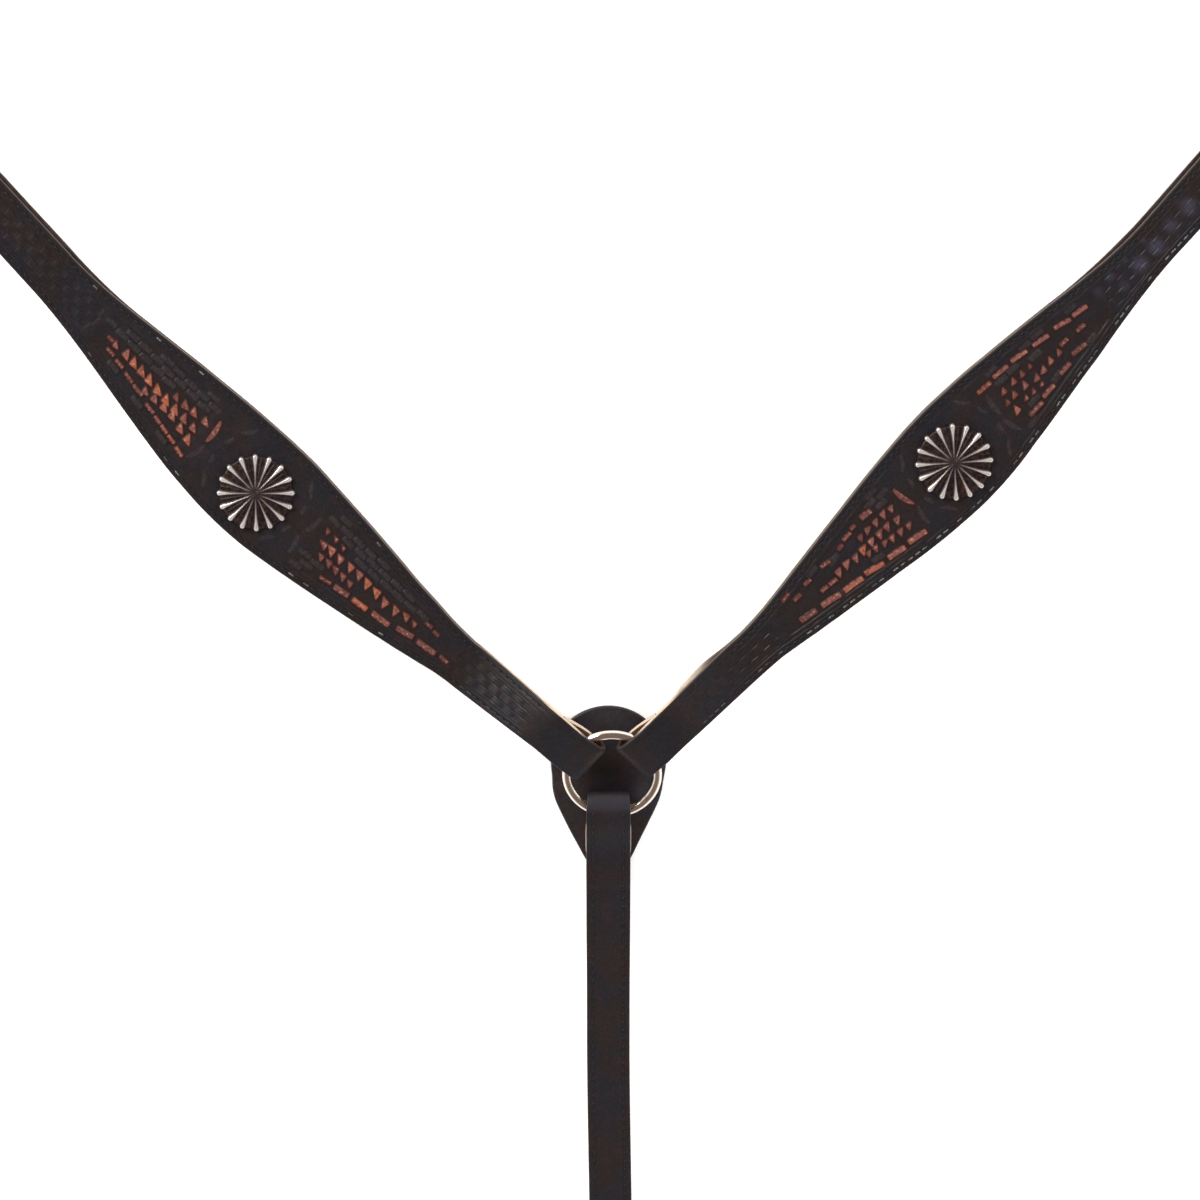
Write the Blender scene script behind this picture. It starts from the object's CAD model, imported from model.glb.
import math

import bpy
import numpy as np
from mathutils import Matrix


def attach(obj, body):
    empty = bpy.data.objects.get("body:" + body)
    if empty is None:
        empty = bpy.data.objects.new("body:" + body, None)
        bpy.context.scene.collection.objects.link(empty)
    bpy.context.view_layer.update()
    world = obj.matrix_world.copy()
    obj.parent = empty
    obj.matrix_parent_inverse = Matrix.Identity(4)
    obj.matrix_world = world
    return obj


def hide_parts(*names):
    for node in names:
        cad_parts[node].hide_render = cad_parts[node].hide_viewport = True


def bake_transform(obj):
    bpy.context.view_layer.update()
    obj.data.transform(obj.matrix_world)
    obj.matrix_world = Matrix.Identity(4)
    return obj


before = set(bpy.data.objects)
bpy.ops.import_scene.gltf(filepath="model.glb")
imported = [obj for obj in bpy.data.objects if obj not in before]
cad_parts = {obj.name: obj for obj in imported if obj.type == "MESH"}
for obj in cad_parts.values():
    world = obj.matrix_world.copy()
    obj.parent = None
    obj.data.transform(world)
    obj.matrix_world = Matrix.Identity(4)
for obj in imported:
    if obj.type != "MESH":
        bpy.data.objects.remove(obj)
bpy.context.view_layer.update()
MM = 0.001
R = math.radians
SIDE = ("left", "right")

# ---------------------------------------------------------------- geometry, as in the CAD source (mm)
AZ = (38.8, 42.7)
LA, LB, LC, LMAX = (-4.65, -6.15), (-0.031, 0.0015), (2.385e-4, 1.195e-4), 464.0
CU = (264.7, 271.0)
EXTRA = (1.4, 0.0)
CONCHO = ((262.6, -0.3), (267.8, 0.8))
TILT = R(16)
RING_R, WIRE = 26.25, 2.75
RING_Z = 17.532
SPLIT = 2.8 / 6.4
FLEX_U = 110.0


def line_y(i, u):
    u = np.asarray(u, float)
    f = lambda t: LA[i] + LB[i] * t + LC[i] * t * t
    return np.where(u <= LMAX, f(u), f(LMAX) + (u - LMAX) * (LB[i] + 2 * LC[i] * LMAX))


def line_a(i, u):
    return np.arctan(LB[i] + 2 * LC[i] * np.minimum(u, LMAX))


def half_w(i, u):
    u = np.asarray(u, float)
    x = np.abs(u - CU[i]) / 167
    sw = np.where(x < 1, 37.4 * np.cos(np.clip(x, 0, 1) * math.pi / 2) ** 1.75, 0)
    return (26 + EXTRA[i] + sw + 1.8 * np.clip((u - CU[i]) / 167, 0, 1)) / 2


def flat(i, u, v, z):
    """Side coordinates to the row frame; the left side is still unmirrored."""
    a = R(AZ[i])
    u, v, z = np.broadcast_arrays(np.asarray(u, float), v, z)
    return np.stack([u * math.cos(a) - v * math.sin(a), u * math.sin(a) + v * math.cos(a), z], -1)


def ringp(i, u, v, w):
    a = math.atan(math.tan(R(AZ[i])) / math.cos(TILT))
    u, v, w = np.broadcast_arrays(np.asarray(u, float), v, w)
    y = u * math.sin(a) + v * math.cos(a)
    return np.stack([u * math.cos(a) - v * math.sin(a), y * math.cos(TILT) - w * math.sin(TILT),
                     RING_Z + y * math.sin(TILT) + w * math.cos(TILT)], -1)


def smooth01(x, a, b):
    t = np.clip((np.asarray(x, float) - a) / (b - a), 0, 1)
    return t * t * (3 - 2 * t)


# ---------------------------------------------------------------- materials
class Mat:
    def __init__(self, name):
        self.m = bpy.data.materials.new(name)
        self.m.use_nodes = True
        self.t = self.m.node_tree
        self.b = next(n for n in self.t.nodes if n.type == "BSDF_PRINCIPLED")

    def put(self, sock, v):
        if isinstance(v, bpy.types.NodeSocket):
            self.t.links.new(v, sock)
        elif v is not None:
            if hasattr(sock.default_value, "__len__") and len(sock.default_value) == 4 and len(v) == 3:
                v = (*v, 1)
            sock.default_value = v

    def attr(self, name, vector=False):
        n = self.t.nodes.new("ShaderNodeAttribute")
        n.attribute_name = name
        return n.outputs["Vector" if vector else "Fac"]

    def obj(self):
        """Object coordinates in mm."""
        n = self.t.nodes.new("ShaderNodeTexCoord")
        v = self.t.nodes.new("ShaderNodeVectorMath")
        v.operation = "SCALE"
        v.inputs["Scale"].default_value = 1000
        self.t.links.new(n.outputs["Object"], v.inputs[0])
        return v.outputs[0]

    def vec(self, v, s):
        n = self.t.nodes.new("ShaderNodeVectorMath")
        n.operation = "MULTIPLY"
        self.put(n.inputs[0], v)
        n.inputs[1].default_value = s
        return n.outputs[0]

    def noise(self, v, scale, detail=2.0, rough=0.5, dist=0.0):
        n = self.t.nodes.new("ShaderNodeTexNoise")
        self.put(n.inputs["Vector"], v)
        n.inputs["Scale"].default_value = scale
        n.inputs["Detail"].default_value = detail
        n.inputs["Roughness"].default_value = rough
        n.inputs["Distortion"].default_value = dist
        return n.outputs["Fac"]

    def voro(self, v, scale, feature="F1"):
        n = self.t.nodes.new("ShaderNodeTexVoronoi")
        n.feature = feature
        self.put(n.inputs["Vector"], v)
        n.inputs["Scale"].default_value = scale
        return n.outputs["Distance"]

    def rng(self, v, a, b, c=0.0, d=1.0, kind="SMOOTHSTEP"):
        n = self.t.nodes.new("ShaderNodeMapRange")
        n.interpolation_type = kind
        for k, x in (("Value", v), ("From Min", a), ("From Max", b), ("To Min", c), ("To Max", d)):
            self.put(n.inputs[k], x)
        return n.outputs["Result"]

    def math(self, op, a, b=None):
        n = self.t.nodes.new("ShaderNodeMath")
        n.operation = op
        self.put(n.inputs[0], a)
        if b is not None:
            self.put(n.inputs[1], b)
        return n.outputs[0]

    def mix(self, f, a, b):
        n = self.t.nodes.new("ShaderNodeMix")
        n.data_type = "RGBA"
        self.put(n.inputs["Factor"], f)
        self.put([s for s in n.inputs if s.name == "A" and s.type == "RGBA"][0], a)
        self.put([s for s in n.inputs if s.name == "B" and s.type == "RGBA"][0], b)
        return [s for s in n.outputs if s.type == "RGBA"][0]

    def bump(self, h, dist, strength=1.0, normal=None):
        n = self.t.nodes.new("ShaderNodeBump")
        self.put(n.inputs["Height"], h)
        n.inputs["Distance"].default_value = dist * MM
        n.inputs["Strength"].default_value = strength
        if normal is not None:
            self.put(n.inputs["Normal"], normal)
        return n.outputs["Normal"]

    def set(self, **kw):
        names = {"color": "Base Color", "rough": "Roughness", "metal": "Metallic", "spec": "Specular IOR Level",
                 "normal": "Normal", "coat": "Coat Weight", "coat_rough": "Coat Roughness", "sheen": "Sheen Weight",
                 "sheen_rough": "Sheen Roughness"}
        for k, v in kw.items():
            self.put(self.b.inputs[names[k]], v)
        return self.m


def black_leather(name, spec=0.15, r0=0.36, r1=0.56, grain=0.05, lift=1.0, tooled=False, edge=None,
                  flesh=((0.050, 0.026, 0.018), (0.130, 0.075, 0.050)), glow=None):
    """Near-black dyed leather; points carry rp, the place on the strap in mm, and depth, mm below the grain side."""
    k = Mat(name)
    rp = k.attr("rp", True)
    cloud = k.noise(rp, 0.045, 3, 0.55)
    fine = k.noise(rp, 0.9, 4, 0.6)
    blot = k.noise(rp, 0.16, 3, 0.6, 0.6)
    a = k.mix(k.rng(cloud, 0.38, 0.62), [c * lift for c in (0.0120, 0.0088, 0.0082)],
              [c * lift for c in (0.0090, 0.0092, 0.0125)])
    a = k.mix(k.rng(blot, 0.54, 0.66, 0, 0.8), a, [c * lift for c in (0.0170, 0.0092, 0.0120)])
    a = k.mix(k.rng(blot, 0.42, 0.32, 0, 0.7), a, [c * lift for c in (0.0075, 0.0090, 0.0098)])
    a = k.mix(k.rng(fine, 0.40, 0.75, 0, 0.8), a, [c * lift for c in (0.0180, 0.0155, 0.0160)])
    if glow is not None:
        sx = k.t.nodes.new("ShaderNodeSeparateXYZ")
        k.put(sx.inputs[0], rp)
        x = sx.outputs["X"]
        f = k.math("MULTIPLY", k.rng(x, 1.5, 4.5), k.rng(x, 13.0, 8.0, 0, 0.85))
        a = k.mix(f, a, glow)
    rough = k.rng(k.noise(rp, 0.12, 3, 0.6), 0.3, 0.7, r0, r1)
    pores = k.math("MULTIPLY", k.voro(rp, 1.15), 0.6)
    h = k.math("ADD", k.noise(rp, 1.6, 5, 0.62), pores)
    if tooled:
        cop, tint = k.attr("cop"), k.attr("tint")
        edge_n = k.math("ADD", cop, k.rng(k.noise(rp, 1.3, 3, 0.6), 0.2, 0.8, -0.22, 0.22, "LINEAR"))
        f = k.rng(edge_n, -0.16, 0.18)
        wear = k.noise(rp, 0.55, 3, 0.6)
        c = k.mix(k.rng(tint, 0.0, 0.5, 0, 1, "LINEAR"), (0.065, 0.030, 0.030), (0.215, 0.085, 0.072))
        c = k.mix(k.rng(tint, 0.5, 1.0, 0, 1, "LINEAR"), c, (0.335, 0.098, 0.050))
        tone = k.noise(rp, 0.13, 3, 0.7)
        c = k.mix(k.rng(tone, 0.52, 0.36, 0.0, 0.62), c, (0.085, 0.030, 0.026))
        c = k.mix(k.math("MULTIPLY", k.rng(wear, 0.50, 0.74, 0.0, 0.75), k.rng(cop, 0.25, 0.75)), c, (0.56, 0.29, 0.20))
        c = k.mix(k.rng(wear, 0.48, 0.26, 0.0, 0.75), c, (0.060, 0.022, 0.017))
        rim = k.rng(cop, 0.75, 0.05, 0.0, 0.80)
        c = k.mix(rim, c, (0.070, 0.018, 0.011))
        pal = k.attr("pal")
        a = k.mix(k.math("MULTIPLY", k.rng(pal, -0.1, 0.6, 0.0, 0.8), k.rng(wear, 0.40, 0.62, 0.35, 1.0)), a, (0.040, 0.033, 0.036))
        a = k.mix(k.rng(cop, -1.7, -0.1, 0.0, 0.60), a, (0.026, 0.009, 0.007))
        a = k.mix(k.math("MULTIPLY", k.attr("haze"), k.rng(wear, 0.25, 0.65, 0.35, 0.95)), a, (0.052, 0.050, 0.074))
        a = k.mix(f, a, c)
        rough = k.rng(f, 0.0, 1.0, rough, 0.52, "LINEAR")
    if edge is not None:
        d = k.attr("depth")
        raw = k.noise(k.vec(rp, (0.25, 1.0, 1.0)), 1.1, 4, 0.65)
        pale = k.mix(raw, (0.36, 0.24, 0.17), (0.80, 0.66, 0.53))
        e = k.mix(k.attr("ek"), k.mix(raw, [c * 0.62 for c in edge], edge), pale)
        f = k.rng(k.math("ADD", d, k.rng(raw, 0, 1, -0.25, 0.25)), 0.95, 1.3)
        a = k.mix(f, a, e)
        a = k.mix(k.attr("flesh"), a, k.mix(raw, *flesh))
        rough = k.rng(f, 0.0, 1.0, rough, 0.62, "LINEAR")
    n = k.bump(h, grain, 0.55)
    return k.set(color=a, rough=rough, spec=spec, normal=n)


def lining_leather(name, light=(0.80, 0.71, 0.61), dark=(0.56, 0.45, 0.36)):
    """Undyed lining and cut edges: cream with fine fibres running along the strap."""
    k = Mat(name)
    rp = k.attr("rp", True)
    fibre = k.noise(k.vec(rp, (0.22, 1.2, 1.6)), 1.0, 5, 0.65)
    cloud = k.noise(rp, 0.06, 3, 0.6)
    c = k.mix(k.rng(fibre, 0.28, 0.72), dark, light)
    c = k.mix(k.rng(cloud, 0.35, 0.75, 0.0, 0.5), c, (0.62, 0.49, 0.38))
    dyed = k.math("MULTIPLY", k.attr("dyed"), k.math("SUBTRACT", 1.0, k.attr("flesh")))
    c = k.mix(dyed, c, k.mix(k.rng(fibre, 0.3, 0.7), (0.015, 0.011, 0.011), (0.060, 0.043, 0.042)))
    return k.set(color=c, rough=k.rng(fibre, 0.2, 0.8, 0.72, 0.55), spec=0.25,
                 normal=k.bump(fibre, 0.12, 0.6))


def metal(name, base, dirt, rough, scratch=0.03, dirt_at=(0.58, 0.78), soften=0.0):
    k = Mat(name)
    o = k.obj()
    cloud = k.noise(o, 0.18, 4, 0.62)
    lines = k.noise(k.vec(o, (1.0, 7.0, 2.0)), 0.8, 4, 0.6)
    c = k.mix(k.rng(cloud, dirt_at[0], dirt_at[1], 0, 0.55), base, dirt)
    r = k.rng(k.math("ADD", cloud, k.math("MULTIPLY", lines, 0.5)), 0.45, 1.05, rough, rough + 0.13)
    round_n = None
    if soften:
        bv = k.t.nodes.new("ShaderNodeBevel")
        bv.samples = 4
        bv.inputs["Radius"].default_value = soften * MM
        round_n = bv.outputs["Normal"]
    return k.set(color=c, metal=1.0, rough=r, normal=k.bump(lines, scratch, 0.25, round_n))


def concho_metal():
    """Silver ribs over dark antiqued grooves; ds is mm inside a rib's outline."""
    k = Mat("concho_silver")
    o = k.attr("rp", True)
    ds, rad = k.attr("ds"), k.attr("rad")
    wob = k.noise(o, 0.9, 3, 0.6)
    f = k.rng(k.math("ADD", ds, k.rng(wob, 0, 1, -0.14, 0.14)), -0.28, 0.30)
    streak = k.noise(k.vec(o, (1.0, 1.0, 0.3)), 0.55, 4, 0.65)
    dark = k.mix(k.rng(streak, 0.42, 0.70), (0.008, 0.005, 0.005), (0.060, 0.028, 0.019))
    dark = k.mix(k.rng(k.noise(o, 0.25, 3, 0.6), 0.50, 0.66, 0, 0.8), dark, (0.022, 0.014, 0.023))
    silver = k.mix(k.rng(streak, 0.5, 0.8, 0, 0.5), (0.84, 0.82, 0.79), (0.55, 0.46, 0.40))
    silver = k.mix(k.rng(k.math("ADD", ds, k.rng(wob, 0, 1, -0.15, 0.15)), 0.80, 0.15), silver, (0.185, 0.145, 0.14))
    c = k.mix(f, dark, silver)
    c = k.mix(k.rng(rad, 6.4, 2.2, 0, 0.88), c, (0.045, 0.029, 0.031))
    r = k.rng(f, 0, 1, 0.50, 0.27, "LINEAR")
    return k.set(color=c, spec=0.3, metal=k.rng(f, 0, 1, 0.0, 0.62, "LINEAR"), rough=r, normal=k.bump(streak, 0.04, 0.4))


def thread(name, a, b, rough=0.42, spec=0.5):
    k = Mat(name)
    rp = k.attr("rp", True)
    tw = k.noise(k.vec(rp, (2.6, 1.0, 1.0)), 1.0, 2, 0.5)
    c = k.mix(k.rng(tw, 0.3, 0.7), a, b)
    c = k.mix(k.attr("lit"), c, k.mix(k.rng(tw, 0.35, 0.65), (0.035, 0.034, 0.036), (0.24, 0.235, 0.24)))
    return k.set(color=c, rough=rough, spec=spec, normal=k.bump(tw, 0.1, 0.8))


M_TOOLED = black_leather("tooled_leather", tooled=True, edge=(0.060, 0.038, 0.030), grain=0.045, spec=0.2, lift=1.45)
M_PLAIN = black_leather("plain_leather", edge=(0.075, 0.048, 0.038), r0=0.33, r1=0.48, grain=0.03, spec=0.25, lift=1.4)
M_TIE = black_leather("tie_leather", edge=(0.10, 0.072, 0.055), r0=0.36, r1=0.50, grain=0.03, lift=1.6, spec=0.2,
                      flesh=((0.42, 0.33, 0.26), (0.82, 0.73, 0.64)), glow=(0.034, 0.032, 0.041))
M_TUG = black_leather("tug_leather", edge=(0.075, 0.048, 0.038), r0=0.36, r1=0.52, grain=0.05, spec=0.25, lift=1.4,
                      flesh=((0.014, 0.011, 0.011), (0.030, 0.023, 0.021)))
M_PAD = black_leather("pad_leather", edge=(0.022, 0.020, 0.024), r0=0.30, r1=0.44, grain=0.022, spec=0.24, lift=2.3)
M_LINING = lining_leather("lining_leather")
M_NICKEL = metal("nickel_plate", (0.82, 0.77, 0.70), (0.42, 0.31, 0.22), 0.10)
M_NICKEL_B = metal("nickel_hardware", (0.50, 0.48, 0.455), (0.40, 0.365, 0.33), 0.24, 0.04, (0.46, 0.90), 0.7)
M_CONCHO = concho_metal()
M_THREAD = thread("black_thread", (0.009, 0.0085, 0.010), (0.020, 0.019, 0.022), 0.45, 0.28)


# ---------------------------------------------------------------- mesh building
def make(name, verts, quads, mat, attrs=None, extra=None, flip=False, sharp=55.0):
    """A smooth-shaded mesh from mm vertices, an (n,4) or (n,3) array of faces and lists of other faces."""
    me = bpy.data.meshes.new(name)
    faces = [] if quads is None else np.asarray(quads).tolist()
    faces += [list(map(int, f)) for f in (extra or [])]
    if flip:
        faces = [f[::-1] for f in faces]
    me.from_pydata((np.asarray(verts, float) * MM).tolist(), [], faces)
    for key, val in (attrs or {}).items():
        val = np.asarray(val, np.float32)
        if val.ndim == 2:
            me.attributes.new(key, "FLOAT_VECTOR", "POINT").data.foreach_set("vector", val.ravel())
        else:
            me.attributes.new(key, "FLOAT", "POINT").data.foreach_set("value", val)
    me.validate()
    me.shade_smooth()
    if sharp:
        me.set_sharp_from_angle(angle=R(sharp))
    me.materials.append(mat)
    o = bpy.data.objects.new(name, me)
    bpy.context.scene.collection.objects.link(o)
    return o


def tube(n, m, closed_u=False):
    """Quads of n rings of m points."""
    a = np.arange(n if closed_u else n - 1)[:, None]
    b = np.arange(m)[None, :]
    p, q = a * m, ((a + 1) % n) * m
    c = (b + 1) % m
    return np.stack([p + b, q + b, q + c, p + c], -1).reshape(-1, 4)


def section(W, T, cols, r=1.1, rb=0.35, k=4):
    """Loops (n, m) of x across and z above the flesh side; the first len(cols) points are the grain side."""
    W, T = np.asarray(W, float)[:, None], np.asarray(T, float)[:, None]
    h = W / 2
    r = np.minimum(r, T * 0.48)
    rb = np.minimum(rb, T * 0.4)
    xs, zs = [cols[None, :] * (h - r)], [np.repeat(T, len(cols), 1)]
    ph = np.radians(90 - 90 * np.arange(1, k + 1) / k)[None, :]
    xs.append(h - r + r * np.cos(ph)); zs.append(T - r + r * np.sin(ph))
    for fx, fz in ((0, 1), (0.3, 0.3), (1, 0)):
        xs.append(h - rb * fx); zs.append(rb * fz + 0 * T)
    for c in (0.55, 0, -0.55):
        xs.append(c * h); zs.append(0 * T)
    for fx, fz in ((1, 0), (0.3, 0.3), (0, 1)):
        xs.append(-h + rb * fx); zs.append(rb * fz + 0 * T)
    xs.append(-(h - r + r * np.cos(ph[:, ::-1]))); zs.append(T - r + r * np.sin(ph[:, ::-1]))
    return np.concatenate(xs, 1), np.concatenate(zs, 1)


def place_section(P, x, z, lift=None):
    """Points of a section at the stations P (n, 4 corners, 3): v- low, v+ low, v+ high, v- high."""
    lo0, lo1, hi1, hi0 = [P[:, None, j, :] for j in range(4)]
    W = (np.linalg.norm(P[:, 1] - P[:, 0], axis=1) + np.linalg.norm(P[:, 2] - P[:, 3], axis=1))[:, None] / 2
    T = np.linalg.norm((P[:, 2] + P[:, 3] - P[:, 0] - P[:, 1]) / 2, axis=1)[:, None]
    a, g = (x / W + 0.5)[..., None], (z / T)[..., None]
    if lift is not None:
        g = g + (lift / T)[..., None]
    return (1 - g) * ((1 - a) * lo0 + a * lo1) + g * ((1 - a) * hi0 + a * hi1)


def sizes(P):
    W = (np.linalg.norm(P[:, 1] - P[:, 0], axis=1) + np.linalg.norm(P[:, 2] - P[:, 3], axis=1)) / 2
    T = np.linalg.norm((P[:, 2] + P[:, 3] - P[:, 0] - P[:, 1]) / 2, axis=1)
    return W, T


def skin(name, P, su, ncol, mat, r=1.1, rb=0.35, relief=None, flip=False, sharp=55.0, grow=None, k=4, ek=None, dyed=None):
    """A strap of stations P with a fine grain side. relief(su, x, half) gives lift and attributes for the grain side."""
    if grow is not None:
        d = P[:, 1] - P[:, 0]
        d = d / np.linalg.norm(d, axis=1)[:, None]
        P = P.copy()
        P[:, 1] += d * grow[1][:, None]; P[:, 2] += d * grow[1][:, None]
        P[:, 0] -= d * grow[0][:, None]; P[:, 3] -= d * grow[0][:, None]
    W, T = sizes(P)
    cols = np.linspace(-1, 1, ncol)
    x, z = section(W, T, cols, r, rb, k)
    n, m = x.shape
    lift = np.zeros((n, m))
    attrs = {}
    if relief is not None:
        got = relief(su[:, None], x[:, :ncol], (W / 2)[:, None])
        lift[:, :ncol] = got.pop("h")
        for key, val in got.items():
            full = np.full((n, m), -3.0 if key in ("cop", "pal") else 0.0)
            full[:, :ncol] = val
            attrs[key] = full.ravel()
    v = place_section(P, x, z, lift)
    attrs["depth"] = (T[:, None] - z).ravel()
    attrs["flesh"] = (z < 0.01).astype(float).ravel()
    ekind = np.zeros((n, m)) if ek is None else np.broadcast_to(ek(su[:, None], x), (n, m))
    attrs["ek"] = ekind.ravel()
    if dyed is not None:
        attrs["dyed"] = np.broadcast_to(dyed(su[:, None], x), (n, m)).ravel()
    attrs["rp"] = np.stack([np.repeat(su[:, None], m, 1), x, z], -1).reshape(-1, 3)
    ends = [list(range(m))[::-1], [(n - 1) * m + j for j in range(m)]]
    # tube() turns the other way from the sections, so faces are reversed here
    return make(name, v.reshape(-1, 3), tube(n, m)[:, ::-1], mat, attrs, [e[::-1] for e in ends], flip, sharp)


def resample(F, G, step, hold=None):
    """Stations from matching flesh and grain polylines, evenly spaced along the middle."""
    F, G = np.asarray(F, float), np.asarray(G, float)
    mid = (F + G) / 2
    s = np.concatenate([[0], np.cumsum(np.linalg.norm(np.diff(mid, axis=0), axis=1))])
    n = max(2, int(round(s[-1] / step)) + 1)
    t = np.linspace(0, s[-1], n)
    f = np.stack([np.interp(t, s, F[:, j]) for j in range(F.shape[1])], 1)
    g = np.stack([np.interp(t, s, G[:, j]) for j in range(G.shape[1])], 1)
    return f, g, t


def relax(P, mask, times=3):
    """Evens out kinks along the stations where mask is set."""
    P = P.copy()
    for _ in range(times):
        Q = P.copy()
        Q[1:-1] = (P[:-2] + 2 * P[1:-1] + P[2:]) / 4
        P[mask] = Q[mask]
    return P


def capsules(name, pts, dirs, ups, length, r, mat, flip=False, sag=0.18, rp=None, lit=None):
    """Stitches: short rounded bars at pts along dirs, bowed a little towards ups."""
    t = np.array([-0.5, -0.46, -0.36, -0.14, 0.14, 0.36, 0.46, 0.5])
    rr = np.array([0.15, 0.62, 0.95, 1.0, 1.0, 0.95, 0.62, 0.15]) * r
    dip = -np.array([1.0, 0.72, 0.30, 0.02, 0.02, 0.30, 0.72, 1.0]) * sag * 2.2
    m = 6
    pts, dirs, ups = np.asarray(pts), np.asarray(dirs), np.asarray(ups)
    dirs = dirs / np.linalg.norm(dirs, axis=1)[:, None]
    ups = ups - (ups * dirs).sum(1)[:, None] * dirs
    ups = ups / np.linalg.norm(ups, axis=1)[:, None]
    side = np.cross(dirs, ups)
    ph = np.arange(m) * 2 * math.pi / m
    c = pts[:, None, :] + dirs[:, None, :] * (t * length)[None, :, None] + ups[:, None, :] * dip[None, :, None]
    v = (c[:, :, None, :] + side[:, None, None, :] * (np.cos(ph)[None, None, :, None] * rr[None, :, None, None])
         + ups[:, None, None, :] * (np.sin(ph)[None, None, :, None] * rr[None, :, None, None] * 0.8))
    n, kk = len(pts), len(t)
    q = tube(kk, m)
    allq = (q[None] + (np.arange(n) * kk * m)[:, None, None]).reshape(-1, 4)
    caps = []
    for j in range(n):
        b = j * kk * m
        caps += [[b + a for a in range(m)][::-1], [b + (kk - 1) * m + a for a in range(m)]]
    v = v.reshape(-1, 3)
    lit = np.zeros(n) if lit is None else np.asarray(lit, float)
    return make(name, v, allq[:, ::-1], mat, {"rp": v if rp is None else rp, "lit": np.repeat(lit, kk * m)},
                [f[::-1] for f in caps], flip, None)


def mirror(v, i):
    v = np.array(v, float)
    if i == 0:
        v[..., 0] *= -1
    return v


# ---------------------------------------------------------------- side pieces: stations
def loft_rows(i, n):
    v0, v1 = -1.5 - 12.8, -1.5 + 12.8
    p = np.stack([ringp(i, 47, v0, -3.3), ringp(i, 47, v1, -3.3), ringp(i, 47, v1, 3.3), ringp(i, 47, v0, 3.3)])
    c, h = float(line_y(i, FLEX_U)), float(half_w(i, FLEX_U))
    q = np.stack([flat(i, 105.5, c - h, 0), flat(i, 105.5, c + h, 0), flat(i, 105.5, c + h, 6.4), flat(i, 105.5, c - h, 6.4)])
    ln = np.linalg.norm(p[0] - q[0]) * 0.75
    s = (ringp(i, 1, 0, 0) - ringp(i, 0, 0, 0)) * ln * 0.5
    e = (flat(i, 1, 0, 0) - flat(i, 0, 0, 0)) * ln
    t = (np.arange(n + 1) / n)[:, None, None]
    return ((2 * t**3 - 3 * t**2 + 1) * p + (t**3 - 2 * t**2 + t) * s
            + (-2 * t**3 + 3 * t**2) * q + (t**3 - t**2) * e)


# how far each cut edge of the leather strays from its drawn line, mm, upper edge then lower edge
STRAY_U = (118, 127, 142, 157, 172, 187, 202, 217, 232, 247, 262, 278, 293, 308, 323, 338, 353, 368, 383, 410, 430)
STRAY = (((0, 0, 0.42, 0, 0, -0.26, -0.62, -1.04, -1.14, -0.78, -0.94, -1.14, -1.04, -0.78, -0.42, 0.26, 0.62, 1.04, 1.14, 1.14, 1.04),
          (0, -0.52, -0.78, -0.52, -0.1, 0.42, 0.62, 0.62, 0.26, -0.42, -0.62, -0.52, -0.1, 0.1, 0.52, 0.78, 0.78, 0.78, 0.78, 0.62, 0.52)),
         ((0, 0, 0.26, 0.42, 0.1, -0.42, -0.94, -1.14, -1.3, -1.3, -0.94, -0.78, -1.04, -0.94, -1.04, -0.78, -0.52, -0.26, -0.42, -0.78, -0.78),
          (0, -0.52, -1.14, -1.14, -0.78, -0.42, -0.1, -0.26, -0.26, -0.26, -0.42, -0.1, 0.52, 1.56, 1.82, 1.98, 1.82, 1.14, 1.04, 0.62, 0.52)))


def stray(i, u):
    """Shift of the middle and change of half width at u."""
    k = smooth01(u, 112, 124) * (1 - smooth01(u, 430, 500))
    hi, lo = (np.interp(u, STRAY_U, e) * k for e in STRAY[i])
    return (hi + lo) / 2, (hi - lo) / 2


def flat_rows(i, us, z0, z1):
    a, h, c = line_a(i, us), half_w(i, us), line_y(i, us)
    dc, dh = stray(i, us)
    h, c = h + dh, c + dc
    w = smooth01(us, 105.5, 116)
    a = a * w
    out = []
    for sgn, z in ((-1, z0), (1, z0), (1, z1), (-1, z1)):
        out.append(flat(i, us - sgn * h * np.sin(a), c + sgn * h * np.cos(a), z))
    return np.stack(out, 1)


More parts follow.
